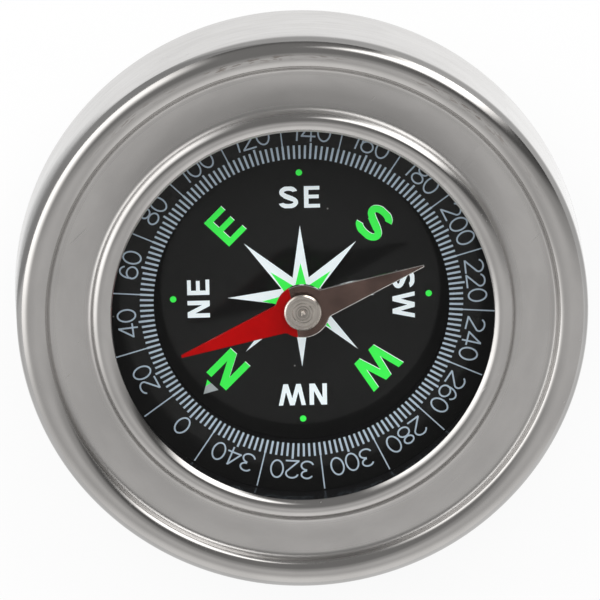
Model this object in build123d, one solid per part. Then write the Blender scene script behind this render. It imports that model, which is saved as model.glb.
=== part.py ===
from build123d import *
import math
import os

os.makedirs("parts", exist_ok=True)

# Pocket compass. Millimetres, +Z out of the face, base plane at Z = 0, dial north along +Y.

# Outer shell, pressed from one sheet
case_dia = 60.0  # widest diameter, just above the foot
case_height = 12.6  # base plane to the crest of the inner bead
rim_drop = 0.1  # outer bead's crest below the inner one's
sheet = 0.5  # sheet thickness of the shell and of the base cover
foot_round = 0.9  # outside radius of the lower corner
foot_flange = 1.5  # width of the turned-in foot, inside the corner
rim_inset = 2.2  # outer bead's crest, in from the widest radius
rim_round = 1.86  # outer bead's rounding, from its crest to the wall
rim_shoulder = 0.85  # tighter rounding on its inner side
rim_slope = 75.0  # steepest tilt on the outer bead's inner side, degrees
rim_fillet = 0.64  # hollow at the foot of the outer bead
bezel_width = 10.18  # widest radius to the edge of the opening over the dial
window_round = 1.1  # rounding of the inner bead's crest
window_flank = 1.75  # wider rounding of its two sides
window_slope = 54.0  # steepest tilt on the inner bead's outer side, degrees
window_fillet = 0.9  # hollow at the foot of the inner bead
crest_tilt = 31.0  # tilt at which a bead's crest passes into its side, degrees
face_round = 18.0  # shallow hollow of the face between the beads
lip_slope = 50.0  # tilt of the inner bead where the sheet ends, degrees
lip_bulge = 0.1  # rounding of the sheet's cut end

# Window
glass_thick = 1.0
glass_overlap = 1.72  # glass edge outside the opening
gasket_thick = 0.25
gasket_in = 0.2  # gasket's inner edge outside the opening
gasket_width = 1.3

# Dial cup and what lies in it
ring_step = 2.21  # degree ring's top above the rose disc's
card_thick = 0.3  # printed disc and ring
ring_overhang = 0.15  # degree ring reaches in over the recess
ring_width = 5.25
seat_width = 0.75  # glass edge that lies on the cup's wall
card_gap = 0.05  # printed pieces in the cup
cup_floor = 1.0
cup_wall = 1.2
cup_rim = 0.8  # wall round the glass edge
rim_height = 0.4  # that wall's height above the glass seat
glass_gap = 0.1  # glass edge in that wall
boss_r = 2.2  # boss under the cup's floor
boss_drop = 0.8

# Pivot
post_r = 0.9
post_taper = 0.8  # height of its tapered end
post_end_r = 0.55
post_hole_gap = 0.2  # post in the rose disc's hole
pin_r = 0.3
pin_free = 1.95  # pin above the post
pin_seat = 2.0  # depth of the pin in the post
pin_cone = 1.0  # length of the pin's point

# Needle
needle_bearing = 23.8  # where the red end points at rest, degrees from dial north
needle_gap = 2.0  # either tip to the degree ring's inner edge, seen from above
needle_hub_r = 2.85  # round part of the blade
needle_arm_half = 1.56  # half the arm's width where it leaves the round part
needle_tip_r = 0.12
needle_fillet = 0.5
needle_headroom = 0.4  # needle's cap to the glass
blade_thick = 0.4
cap_r = 1.94
cap_height = 0.6  # above the blade
cap_edge = 0.14  # chamfer round the cap
cap_groove_r = 1.05
cap_groove = 0.14  # width of the turned groove
cap_groove_deep = 0.07
cap_dimple_r = 0.32
cap_dimple_deep = 0.16
stem_r = 1.25
stem_length = 1.6  # below the blade's top
collar_r = 2.0
collar_thick = 0.5
jewel_r = 0.75
jewel_height = 0.8
jewel_mouth_r = 0.55
jewel_cone = 0.55
jewel_cover = 0.45  # cap metal above the jewel
pivot_play = 0.05  # pin's point to the bottom of the jewel's cup

# Packing under and round the cup
cover_gap = 0.2  # base cover in the shell's foot
panel_gap = 1.7  # flat rim of the base cover inside the locating ring
panel_rise = 0.35  # raised middle of the base cover
panel_slope = 0.8
locate_gap = 0.1  # locating ring on the cup
locate_wall = 1.2
locate_base = 1.2
locate_head = 0.1  # locating ring's inner wall below the shell's face
locate_step = 1.2  # its outer wall below its inner one
locate_shell_gap = 0.4  # locating ring to the shell's wall
rib_count = 8
rib_thick = 1.0
rib_drop = 2.3  # ribs below the outer wall
pad_thick = 1.0
pad_inset = 0.8  # pad's edge in from the cup's
pad_hole_gap = 0.5  # pad round the boss


def on(centre, radius, tilt):
    """Point on a circle in the X-Z plane, tilt in degrees from +Z towards +X."""
    a = math.radians(tilt)
    return (centre[0] + radius * math.sin(a), 0, centre[1] + radius * math.cos(a))


def arc(centre, radius, start, end):
    mid = 0.5 * (start + end)
    return ThreePointArc(on(centre, radius, start), on(centre, radius, mid), on(centre, radius, end))


def common_tilt(c0, c1, step):
    """Tilt of the straight line that touches two circles, normal . (c0 - c1) = step."""
    dx = c0[0] - c1[0]
    dz = c0[1] - c1[1]
    return math.degrees(math.atan2(dx, dz) + math.acos(step / math.hypot(dx, dz)))


def lathe(edges):
    return revolve(Face(Wire(edges)), Axis.Z, 360)


def turned(*points):
    """Solid of revolution about Z from a closed outline of (radius, height) points."""
    corners = [(r, 0, z) for r, z in points]
    edges = [Line(a, b) for a, b in zip(corners, corners[1:] + corners[:1])]
    return lathe(edges)


def tube(r_in, r_out, low, high):
    return turned((r_in, low), (r_out, low), (r_out, high), (r_in, high))


def save(solid, name):
    solid.label = name
    export_step(solid, "parts/" + name + ".step")


# Outer shell: circles of the sheet's outer side, each touching the next
case_r = case_dia / 2
window_r = case_r - bezel_width


def beside(circle, radius, tilt):
    """Centre of the next circle, at that distance and tilt from a circle's centre."""
    point = on(circle, radius, tilt)
    return (point[0], point[2])


crest_sin = math.sin(math.radians(crest_tilt))
lip_reach = window_round * crest_sin + window_flank * (math.sin(math.radians(lip_slope)) - crest_sin)
window_c = (window_r + lip_reach, case_height - window_round)
lip_c = beside(window_c, window_round - window_flank, -crest_tilt)
flank_c = beside(window_c, window_round - window_flank, crest_tilt)
window_f = beside(flank_c, window_flank + window_fillet, window_slope)
rim_c = (case_r - rim_inset, case_height - rim_drop - rim_round)
shoulder_c = beside(rim_c, rim_round - rim_shoulder, -crest_tilt)
rim_f = beside(shoulder_c, rim_shoulder + rim_fillet, -rim_slope)
foot_c = (case_r - foot_round, foot_round)
wall_tilt = common_tilt(rim_c, foot_c, foot_round - rim_round)
foot_in_r = foot_c[0] - foot_flange

# The face's circle touches the hollows of both beads from inside
reach_w = face_round - window_fillet
reach_r = face_round - rim_fillet
span = math.hypot(rim_f[0] - window_f[0], rim_f[1] - window_f[1])
lean = math.atan2(rim_f[1] - window_f[1], rim_f[0] - window_f[0])
turn = lean + math.acos((span**2 + reach_w**2 - reach_r**2) / (2 * span * reach_w))
face_c = (window_f[0] + reach_w * math.cos(turn), window_f[1] + reach_w * math.sin(turn))
face_in = math.degrees(math.atan2(face_c[0] - window_f[0], face_c[1] - window_f[1]))
face_out = math.degrees(math.atan2(face_c[0] - rim_f[0], face_c[1] - rim_f[1]))
face_low = face_c[1] - face_round


def shell_side(inset):
    """Edges of one side of the sheet, from the lip to the foot; inset 0 is the outer side."""
    foot = foot_round - inset
    flange = (foot_in_r, 0, inset)
    return [
        arc(lip_c, window_flank - inset, -lip_slope, -crest_tilt),
        arc(window_c, window_round - inset, -crest_tilt, crest_tilt),
        arc(flank_c, window_flank - inset, crest_tilt, window_slope),
        arc(window_f, -window_fillet - inset, window_slope, face_in),
        arc(face_c, -face_round - inset, face_in, face_out),
        arc(rim_f, -rim_fillet - inset, face_out, -rim_slope),
        arc(shoulder_c, rim_shoulder - inset, -rim_slope, -crest_tilt),
        arc(rim_c, rim_round - inset, -crest_tilt, wall_tilt),
        Line(on(rim_c, rim_round - inset, wall_tilt), on(foot_c, foot, wall_tilt)),
        arc(foot_c, foot, wall_tilt, 180),
        Line(on(foot_c, foot, 180), flange),
    ]


lip_out = on(lip_c, window_flank, -lip_slope)
lip_in = on(lip_c, window_flank - sheet, -lip_slope)
lip_dir = math.radians(lip_slope)
lip_mid = (
    0.5 * (lip_out[0] + lip_in[0]) - lip_bulge * math.cos(lip_dir),
    0,
    0.5 * (lip_out[2] + lip_in[2]) - lip_bulge * math.sin(lip_dir),
)
outline = shell_side(0) + shell_side(sheet)
outline.append(ThreePointArc(lip_out, lip_mid, lip_in))
outline.append(Line((foot_in_r, 0, 0), (foot_in_r, 0, sheet)))
save(lathe(outline), "outer_shell")

# Levels and radii that the pieces inside share
glass_r = window_r + glass_overlap
gasket_top = lip_in[2]
glass_top = gasket_top - gasket_thick
glass_low = glass_top - glass_thick
wall_r = glass_r - seat_width
ring_out = wall_r - card_gap
ring_in = ring_out - ring_width
recess_r = ring_in + ring_overhang
seat_r = glass_r + glass_gap
cup_r = seat_r + cup_rim
low_r = recess_r + cup_wall
locate_r = cup_r + locate_gap
cover_low = sheet
cover_top = cover_low + sheet
panel_top = cover_top + panel_rise
floor_low = panel_top + pad_thick
floor_top = floor_low + cup_floor
dial_top = floor_top + card_thick
ring_top = dial_top + ring_step
shelf_top = ring_top - card_thick
shelf_low = shelf_top - cup_wall
boss_low = floor_low - boss_drop
cap_top = glass_low - needle_headroom
blade_top = cap_top - cap_height
blade_low = blade_top - blade_thick
jewel_top = cap_top - jewel_cover
jewel_low = jewel_top - jewel_height
cup_apex = jewel_low + jewel_cone
pin_apex = cup_apex - pivot_play
post_top = pin_apex - pin_free
pin_low = post_top - pin_seat

# Base cover: flat rim on the turned-in foot, middle pressed inwards
cover_r = foot_c[0] - cover_gap
panel_out = locate_r - panel_gap
panel_r = panel_out - panel_slope
save(
    turned(
        (0, cover_low + panel_rise),
        (panel_r, cover_low + panel_rise),
        (panel_out, cover_low),
        (cover_r, cover_low),
        (cover_r, cover_top),
        (panel_out, cover_top),
        (panel_r, panel_top),
        (0, panel_top),
    ),
    "base_cover",
)

# Window: the gasket meets the lowest edge of the lip
gasket_r = window_r + gasket_in
save(Pos(0, 0, (glass_low + glass_top) / 2) * Cylinder(glass_r, glass_thick), "window_glass")
save(tube(gasket_r, gasket_r + gasket_width, glass_top, gasket_top), "window_gasket")

# Dial cup: floor, recess, shelf, wall, glass seat
save(
    turned(
        (post_r, boss_low),
        (boss_r, boss_low),
        (boss_r, floor_low),
        (low_r, floor_low),
        (low_r, shelf_low),
        (cup_r, shelf_low),
        (cup_r, glass_low + rim_height),
        (seat_r, glass_low + rim_height),
        (seat_r, glass_low),
        (wall_r, glass_low),
        (wall_r, shelf_top),
        (recess_r, shelf_top),
        (recess_r, floor_top),
        (post_r, floor_top),
    ),
    "dial_cup",
)
save(tube(ring_in, ring_out, shelf_top, ring_top), "degree_ring")
save(tube(post_r + post_hole_gap, recess_r - card_gap, floor_top, dial_top), "dial_disc")

# Pivot: brass post with a steel pin that ends in a point
save(
    turned(
        (0, boss_low),
        (post_r, boss_low),
        (post_r, post_top - post_taper),
        (post_end_r, post_top),
        (pin_r, post_top),
        (pin_r, pin_low),
        (0, pin_low),
    ),
    "pivot_post",
)
save(turned((0, pin_low), (pin_r, pin_low), (pin_r, pin_apex - pin_cone), (0, pin_apex)), "pivot_pin")

# Needle blade: round middle with two straight arms
needle_reach = ring_in - needle_gap
arm_root = math.sqrt(needle_hub_r**2 - needle_arm_half**2)
tip_y = needle_reach - needle_tip_r
arm = Polygon(
    (-needle_arm_half, 0),
    (needle_arm_half, 0),
    (needle_arm_half, arm_root),
    (needle_tip_r, tip_y),
    (-needle_tip_r, tip_y),
    (-needle_arm_half, arm_root),
    align=None,
)
arm += Pos(0, tip_y) * Circle(needle_tip_r)
outline_2d = Circle(needle_hub_r) + arm + Rot(0, 0, 180) * arm
corners = [v for v in outline_2d.vertices() if abs(math.hypot(v.X, v.Y) - needle_hub_r) < 0.01]
outline_2d = fillet(corners, needle_fillet)
outline_2d -= Circle(stem_r)
blade = extrude(outline_2d, blade_thick)
save(Pos(0, 0, blade_low) * Rot(0, 0, -needle_bearing) * blade, "needle_blade")

# Needle cap: flange on the blade, stem through it, turned rings on top
stem_low = blade_top - stem_length
groove_in = cap_groove_r - cap_groove / 2
groove_out = cap_groove_r + cap_groove / 2
save(
    turned(
        (jewel_r, stem_low),
        (stem_r, stem_low),
        (stem_r, blade_top),
        (cap_r, blade_top),
        (cap_r, cap_top - cap_edge),
        (cap_r - cap_edge, cap_top),
        (groove_out, cap_top),
        (cap_groove_r, cap_top - cap_groove_deep),
        (groove_in, cap_top),
        (cap_dimple_r, cap_top),
        (0, cap_top - cap_dimple_deep),
        (0, jewel_top),
        (jewel_r, jewel_top),
    ),
    "needle_cap",
)
save(tube(stem_r, collar_r, blade_low - collar_thick, blade_low), "cap_collar")
save(
    turned(
        (jewel_mouth_r, jewel_low),
        (jewel_r, jewel_low),
        (jewel_r, jewel_top),
        (0, jewel_top),
        (0, cup_apex),
    ),
    "jewel_cup",
)

# Locating ring: channel with ribs between the cup and the shell's wall
locate_out = on(rim_c, rim_round - sheet, 90)[0] - locate_shell_gap
locate_inner_top = face_low - sheet - locate_head
locate_outer_top = locate_inner_top - locate_step
locating = turned(
    (locate_r, cover_top),
    (locate_out, cover_top),
    (locate_out, locate_outer_top),
    (locate_out - locate_wall, locate_outer_top),
    (locate_out - locate_wall, cover_top + locate_base),
    (locate_r + locate_wall, cover_top + locate_base),
    (locate_r + locate_wall, locate_inner_top),
    (locate_r, locate_inner_top),
)
rib_length = locate_out - locate_r - locate_wall
rib_mid = 0.5 * (locate_out + locate_r)
rib_height = locate_outer_top - rib_drop - cover_top
for i in range(rib_count):
    rib = Pos(rib_mid, 0, cover_top + rib_height / 2) * Box(rib_length, rib_thick, rib_height)
    locating += Rot(0, 0, i * 360 / rib_count) * rib
save(locating, "locating_ring")

# Cushion pad between the base cover and the cup
save(tube(boss_r + pad_hole_gap, low_r - pad_inset, panel_top, floor_low), "cushion_pad")
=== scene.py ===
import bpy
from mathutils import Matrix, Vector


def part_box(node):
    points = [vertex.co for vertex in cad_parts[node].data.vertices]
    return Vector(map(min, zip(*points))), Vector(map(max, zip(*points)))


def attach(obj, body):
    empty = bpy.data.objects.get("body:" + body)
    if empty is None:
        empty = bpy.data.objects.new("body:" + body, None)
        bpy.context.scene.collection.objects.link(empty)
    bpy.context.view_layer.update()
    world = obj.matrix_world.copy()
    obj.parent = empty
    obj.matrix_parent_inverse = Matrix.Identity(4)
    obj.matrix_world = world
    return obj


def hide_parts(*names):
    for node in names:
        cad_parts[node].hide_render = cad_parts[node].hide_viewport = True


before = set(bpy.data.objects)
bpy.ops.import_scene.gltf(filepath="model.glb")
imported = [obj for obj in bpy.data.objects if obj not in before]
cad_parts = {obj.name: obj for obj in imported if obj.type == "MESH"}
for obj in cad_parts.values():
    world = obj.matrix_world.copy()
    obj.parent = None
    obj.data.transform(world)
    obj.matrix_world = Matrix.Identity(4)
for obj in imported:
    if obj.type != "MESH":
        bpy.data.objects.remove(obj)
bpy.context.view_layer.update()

import math

import bmesh
import bpy
from bpy.props import FloatProperty, FloatVectorProperty, IntProperty, PointerProperty
from mathutils import Matrix, Vector

bl_info = {
    "name": "Pocket compass",
    "version": (1, 0, 0),
    "blender": (4, 5, 0),
    "location": "View3D > Sidebar > Compass",
    "description": "Builds the looks of a pocket compass round its CAD pieces",
    "category": "Object",
}

MM = 0.001

# Sizes in millimetres that neither the settings nor a neighbouring piece give
COVER_STEP = (20.0, 20.8)
COVER_SOFT = 0.18
GLASS_EDGE = 0.12
CUP_SOFT = 0.06
CUP_WALL = 1.2
CUP_FLOOR = 1.0
CUP_BOSS = 2.2
CARD_PLAY = 0.05
GLASS_PLAY = 0.1
CARD_SOFT = 0.04
RING_WIDTH = 5.25
DISC_HOLE = 1.1
PAD_HOLE = 2.7
PAD_SOFT = 0.3
SMALL_TURNS = 96  # flats round a small turned piece


def length(name, description, millimetres):
    return FloatProperty(name=name, description=description, default=millimetres * MM, unit="LENGTH", precision=5)


def angle(name, description, degrees):
    return FloatProperty(name=name, description=description, default=math.radians(degrees), subtype="ANGLE")


def number(name, description, value):
    return FloatProperty(name=name, description=description, default=value)


def colour(name, description, red, green, blue):
    return FloatVectorProperty(
        name=name, description=description, default=(red, green, blue), size=3, min=0, max=1, subtype="COLOR"
    )


class CaseSettings(bpy.types.PropertyGroup):
    sheet: length("Sheet", "Thickness of the pressed steel", 0.5)
    foot_round: length("Foot rounding", "Outside radius of the shell's lower corner", 0.9)
    foot_flange: length("Foot flange", "Width of the turned-in foot", 1.5)
    rim_inset: length("Rim inset", "Outer bead's crest, in from the widest radius", 2.2)
    rim_drop: length("Rim drop", "Outer bead's crest below the inner one's", 0.1)
    rim_round: length("Rim rounding", "Outer bead from its crest to the wall", 1.86)
    rim_shoulder: length("Rim shoulder", "Tighter rounding on the outer bead's inner side", 0.85)
    rim_fillet: length("Rim hollow", "Hollow at the foot of the outer bead", 0.64)
    rim_slope: angle("Rim slope", "Steepest tilt on the outer bead's inner side", 75)
    bezel_width: length("Bezel width", "Widest radius to the edge of the opening", 10.18)
    window_round: length("Window bead", "Rounding of the inner bead's crest", 1.1)
    window_flank: length("Window flank", "Wider rounding of the inner bead's sides", 1.75)
    window_fillet: length("Window hollow", "Hollow at the foot of the inner bead", 0.9)
    window_slope: angle("Window slope", "Steepest tilt on the inner bead's outer side", 54)
    crest_tilt: angle("Crest tilt", "Tilt at which a bead's crest passes into its side", 31)
    lip_slope: angle("Lip slope", "Tilt of the inner bead where the sheet ends", 50)
    lip_bulge: length("Lip bulge", "Rounding of the sheet's cut end", 0.1)
    face_round: length("Face hollow", "Shallow hollow of the face between the beads", 18)
    worn_side: angle("Worn side", "Bearing of the scuffed stretch of the outer bead", 140)
    turns: IntProperty(name="Steps round", description="Flats round a large turned piece", default=240, min=48)
    steel: colour("Steel", "Polished stainless sheet", 0.62, 0.61, 0.6)
    brass: colour("Brass", "Turned brass post", 0.72, 0.5, 0.2)
    rubber: colour("Rubber", "Gasket under the lip", 0.016, 0.016, 0.017)
    plastic: colour("Moulded plastic", "Locating ring", 0.05, 0.05, 0.055)
    foam: colour("Foam", "Cushion pad", 0.09, 0.09, 0.1)


class DialSettings(bpy.types.PropertyGroup):
    ink: length("Ink", "Height of the print above its card", 0.02)
    tick_inner: length("Tick start", "Inner end of the degree marks", 15.46)
    tick_outer: length("Tick end", "Outer end of the short degree marks", 16.89)
    tick_medium: length("Medium tick end", "Outer end of the marks at the numbers", 17.15)
    tick_long: length("Long tick end", "Outer end of the lines between the numbers", 20.6)
    tick_width: length("Tick width", "Width of a degree mark", 0.22)
    line_width: length("Line width", "Width of the lines between the numbers", 0.13)
    number_height: length("Number height", "Height of the degree numbers", 2.05)
    number_radius: length("Number radius", "Middle of the degree numbers", 18.33)
    number_stroke: length("Number stroke", "Stroke of the degree numbers", 0.17)
    letter_height: length("Letter height", "Height of N, E, S and W", 3.65)
    letter_radius: length("Letter radius", "Middle of N, E, S and W", 11.02)
    letter_stroke: length("Letter stroke", "Stroke of N, E, S and W", 0.74)
    word_height: length("Word height", "Height of NE, SE, SW and NW", 2.33)
    word_radius: length("Word radius", "Middle of NE, SE, SW and NW", 10.75)
    word_stroke: length("Word stroke", "Stroke of NE, SE, SW and NW", 0.47)
    rose_long: length("Long ray", "Rose rays to N, E, S and W", 8.3)
    rose_short: length("Short ray", "Rose rays to NE, SE, SW and NW", 7.68)
    rose_valley: length("Rose valley", "Radius of the corners between the rays", 2.2)
    core_long: length("Core long ray", "Rays of the green star to N, E, S and W", 4.45)
    core_short: length("Core short ray", "Rays of the green star between them", 4.07)
    core_valley: length("Core valley", "Corners of the green star", 1.62)
    core_slip: length("Core slip", "How far the green star is printed off the rose", 0.45)
    dot_radius: length("Dot size", "Radius of the four dots", 0.34)
    dot_place: length("Dot radius", "Place of the four dots", 13.4)
    mark_inner: length("North mark base", "Base of the north triangle", 13.35)
    mark_outer: length("North mark tip", "Tip of the north triangle", 14.76)
    mark_width: length("North mark width", "Width of the north triangle", 1.63)
    print_turn: angle("Disc turn", "Disc print turned in its recess", 1.2)
    scale_turn: angle("Scale turn", "Ring print turned on its shelf", 2.05)
    slip: length("Underprint slip", "How far the green letters are printed off their white ground", 0.065)
    card: colour("Card", "Black ground of the disc and the ring", 0.007, 0.007, 0.0071)
    cup: colour("Cup", "Black moulded cup", 0.006, 0.006, 0.0065)
    grey_ink: colour("Grey ink", "Degree marks and numbers", 0.47, 0.55, 0.65)
    white_ink: colour("White ink", "Rose and words", 0.84, 0.9, 0.94)
    green_ink: colour("Green ink", "Luminous letters, dots and star", 0.05, 0.9, 0.09)


class NeedleSettings(bpy.types.PropertyGroup):
    bearing: angle("Bearing", "Where the red end points at rest, from dial north", 23.8)
    hub_radius: length("Hub", "Round part of the blade", 2.85)
    arm_half: length("Arm", "Half the arm's width at the round part", 1.56)
    tip_radius: length("Tip", "Half the width of the blade's tip", 0.12)
    fillet: length("Fillet", "Rounding between arm and hub", 0.5)
    hole_radius: length("Hole", "Hole for the cap's stem", 1.25)
    edge: length("Edge", "Width of the burnished edge round the blade", 0.08)
    edge_drop: length("Edge drop", "Fall of that edge", 0.04)
    paint_line: length("Paint line", "Edge of the red paint, from the middle", 0.95)
    paint_lean: angle("Paint lean", "Turn of that edge from square to the blade", 10.5)
    cap_edge: length("Cap edge", "Chamfer round the cap", 0.14)
    groove_radius: length("Groove", "Turned groove in the cap", 1.05)
    groove_width: length("Groove width", "Width of the turned groove", 0.14)
    groove_depth: length("Groove depth", "Depth of the turned groove", 0.07)
    dimple_radius: length("Dimple", "Centre mark in the cap", 0.32)
    dimple_depth: length("Dimple depth", "Depth of the centre mark", 0.16)
    paint: colour("Red paint", "North half of the blade", 0.4, 0.0012, 0.0016)
    blade: colour("Blade", "Tempered steel of the south half", 0.14, 0.092, 0.08)
    cap: colour("Cap", "Turned cap and collar", 0.55, 0.5, 0.46)
    jewel: colour("Jewel", "Ground glass of the bearing cup", 0.6, 0.65, 0.7)


class StageSettings(bpy.types.PropertyGroup):
    up_bearing: angle("Picture up", "Dial bearing that points up in the picture", 135)
    view_tilt: angle("View tilt", "Camera away from straight above", 15.955)
    view_side: angle("View side", "Direction of that tilt, clockwise from picture up", -6.114)
    view_distance: length("Distance", "Camera to the dial", 597.1)
    view_height: length("View height", "Point of the axis that the camera faces", 6.18)
    lens: number("Lens", "Focal length in millimetres", 343.0)
    shift_x: number("Shift X", "Sideways framing", -0.0027)
    shift_y: number("Shift Y", "Upward framing", 0.0032)
    box_level: number("Softbox level", "Brightness of the two softboxes", 2.2)
    top_level: number("Top light level", "Brightness of the light overhead", 1.0)
    room_level: number("Room level", "Soft light from the room", 0.56)
    sheen_level: number("Sheen level", "Room as the window glass mirrors it", 0.15)
    floor: colour("Floor", "Pale floor", 0.8, 0.8, 0.8)


# Materials

WHITE = (1, 1, 1, 1)
WARM = (1.0, 0.985, 0.97, 1)
GRAIN = (0.3, 0.7)  # most of a noise lies between these values
SMUDGE = (0.35, 0.65)
HAIRLINES = ((0.4, 3100.0), (1.5, 3700.0), (2.5, 2700.0))  # turn and scale of each set of scratches
SCUFF_COLOUR = (0.3, 0.25, 0.22, 1)
WORN_COLOUR = (0.42, 0.4, 0.385, 1)
DUST_COLOUR = (0.5, 0.48, 0.46, 1)
DUST_SCALE = 620.0
DUST_LIMIT = 0.93


class Nodes:
    """Adds nodes to a tree. An input given a socket is joined to it; any other value is set."""

    def __init__(self, tree):
        self.tree = tree

    def put(self, sockets, values):
        for key, value in values.items():
            if isinstance(value, bpy.types.NodeSocket):
                self.tree.links.new(value, sockets[key])
            else:
                sockets[key].default_value = value

    def node(self, kind, values=None, **settings):
        made = self.tree.nodes.new("ShaderNode" + kind)
        for key, value in settings.items():
            setattr(made, key, value)
        self.put(made.inputs, values or {})
        return made.outputs

    def math(self, operation, *values):
        return self.node("Math", dict(enumerate(values)), operation=operation)[0]

    def times(self, first, second):
        return self.math("MULTIPLY", first, second)

    def most(self, first, second):
        return self.math("MAXIMUM", first, second)

    def spread(self, value, low, high, to_low=0.0, to_high=1.0, kind="LINEAR"):
        inputs = {"Value": value, "From Min": low, "From Max": high, "To Min": to_low, "To Max": to_high}
        return self.node("MapRange", inputs, interpolation_type=kind)["Result"]

    def ease(self, value, low, high, to_low=0.0, to_high=1.0):
        return self.spread(value, low, high, to_low, to_high, "SMOOTHSTEP")

    def mix(self, factor, first, second):
        return self.node("MixShader", {0: factor, 1: first, 2: second})[0]

    def along(self, vector, way):
        return self.node("VectorMath", {0: vector, 1: way}, operation="DOT_PRODUCT")["Value"]


class Finish(Nodes):
    """A node material about its Principled shader."""

    def __init__(self, name):
        self.material = bpy.data.materials.new(name)
        self.material.use_nodes = True
        super().__init__(self.material.node_tree)
        self.shader = self.tree.nodes["Principled BSDF"]
        self.end = self.tree.nodes["Material Output"]
        self.place = self.node("TexCoord")["Object"]

    def noise(self, scale, detail=3.0, vector=None):
        inputs = {"Vector": vector or self.place, "Scale": scale, "Detail": detail}
        return self.node("TexNoise", inputs)["Fac"]

    def blend(self, factor, first, second):
        return self.node("MixRGB", {"Fac": factor, "Color1": first, "Color2": second})[0]

    def uneven(self, noise, low, high):
        """A value that wavers with a noise."""
        return self.spread(noise, *GRAIN, low, high)

    def mottle(self, noise, rgb, first, second, span=GRAIN):
        """A colour that wavers with a noise between two tints of itself."""
        return self.blend(self.spread(noise, *span), tint(rgb, first), tint(rgb, second))

    def vector(self, x=0.0, y=0.0, z=0.0):
        return self.node("CombineXYZ", {0: x, 1: y, 2: z})[0]

    def radius(self):
        flat = self.node("VectorMath", {0: self.place, 1: (1, 1, 0)}, operation="MULTIPLY")[0]
        return self.node("VectorMath", {0: flat}, operation="LENGTH")["Value"]

    def off_radius(self, middle):
        return self.math("ABSOLUTE", self.math("SUBTRACT", self.radius(), middle))

    def rings(self, scale, detail=2.0):
        """Fine marks of turning: they change with the radius and the height alone."""
        height = self.node("SeparateXYZ", {0: self.place})["Z"]
        return self.noise(scale, detail, self.vector(self.radius(), z=height))

    def bump(self, height, distance, strength=1.0, normal=None):
        inputs = {"Height": height, "Distance": distance, "Strength": strength}
        if normal:
            inputs["Normal"] = normal
        return self.node("Bump", inputs)["Normal"]

    def set(self, **values):
        names = {key.replace("_", " ").title().replace("Ior", "IOR"): value for key, value in values.items()}
        self.put(self.shader.inputs, names)
        return self


def tint(rgb, factor=1.0):
    return (rgb[0] * factor, rgb[1] * factor, rgb[2] * factor, 1.0)


def pressed_steel(name, rgb, rough, crest=0.0, side=(0, 1, 0), hollows=(), edge=0.0):
    """Polished sheet: faint turning marks, hairline scratches, smudges, hollows that the polishing wheel doesn't
    reach, and on the worn side scuffs along a crest radius and a dull cut edge."""
    f = Finish(name)
    spot = f.node("SeparateXYZ", {0: f.place})
    radius, height = f.radius(), spot["Z"]
    toward = f.along(f.place, side)
    arc = f.times(f.math("ARCTAN2", spot["X"], spot["Y"]), 28 * MM)
    smudge = f.noise(420.0, 6.0, f.vector(f.times(arc, 0.4), radius, height) if crest else f.place)
    hair = 0.0
    for turn, scale in HAIRLINES:
        along = f.node("Mapping", {"Vector": f.place, "Rotation": (0.3, 0.2, turn), "Scale": (1.0, 0.03, 1.0)})[0]
        hair = f.most(f.spread(f.noise(scale, 1.0, along), 0.74, 0.78), hair)
    hair = f.times(hair, f.spread(f.noise(240.0, 2.0), 0.5, 0.62))
    scuff = 0.0
    if crest:
        streak = f.spread(f.noise(5200.0, 4.0, f.vector(f.times(arc, 0.16), radius)), 0.5, 0.62)
        band = f.spread(f.off_radius(crest), 0.42 * MM, 0.1 * MM)
        patch = f.times(f.spread(f.noise(110.0, 3.0), 0.38, 0.52), f.spread(toward, 14 * MM, 22 * MM))
        upper = f.math("GREATER_THAN", height, 11 * MM)
        scuff = f.times(f.times(streak, band), f.times(patch, upper))
    run = f.noise(1500.0, 6.0, f.vector(f.times(arc, 0.12), z=height))
    worn = f.times(f.spread(run, 0.42, 0.66), f.spread(radius, 28.9 * MM, 29.4 * MM))
    marks = dull = f.most(hair, scuff)
    for middle in hollows:
        dull = f.most(dull, f.spread(f.off_radius(middle), 0.7 * MM, 0.3 * MM))
    if edge:
        rubbed = f.spread(toward, 2 * MM, 12 * MM, 0.0, 2.2)
        dull = f.most(dull, f.times(f.spread(radius, edge + 0.26 * MM, edge + 0.16 * MM), rubbed))
    clean = f.blend(f.times(worn, 0.24), f.mottle(smudge, rgb, 0.95, 1.03, SMUDGE), WORN_COLOUR)
    grain = f.bump(f.rings(26000.0), 0.0016 * MM, 0.5, f.bump(f.noise(7000.0, 2.0), 0.002 * MM, 0.35))
    f.set(
        base_color=f.blend(f.times(scuff, 0.7), clean, SCUFF_COLOUR),
        metallic=1.0,
        roughness=f.math("ADD", f.spread(smudge, *SMUDGE, rough * 1.2, rough * 0.85), f.times(dull, 0.2)),
        normal=f.bump(marks, 0.006 * MM, 0.6, grain),
    )
    return f.material


def turned_metal(name, rgb, rough, scale=30000.0, relief=0.006 * MM, painted_light_bands=()):
    """Turned metal with the tool's rings, and rings of painted highlight and painted shade: each (from, to, factor)
    gives radii where the colour is lit up or shaded by that factor.
    """
    f = Finish(name)
    marks = f.rings(scale, 3.0)
    base = f.mottle(f.noise(700.0), rgb, 0.92, 1.06)
    # painted highlight where a factor is above 1, painted shade where it is below
    for start, end, factor in painted_light_bands:
        middle, half = (start + end) / 2, (end - start) / 2
        base = f.blend(f.spread(f.off_radius(middle), half * 1.2, half * 0.8), base, tint(rgb, factor))
    f.set(
        base_color=base,
        metallic=1.0,
        roughness=f.uneven(marks, rough * 0.75, rough * 1.3),
        normal=f.bump(marks, relief, 0.7),
    )
    return f.material


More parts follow.
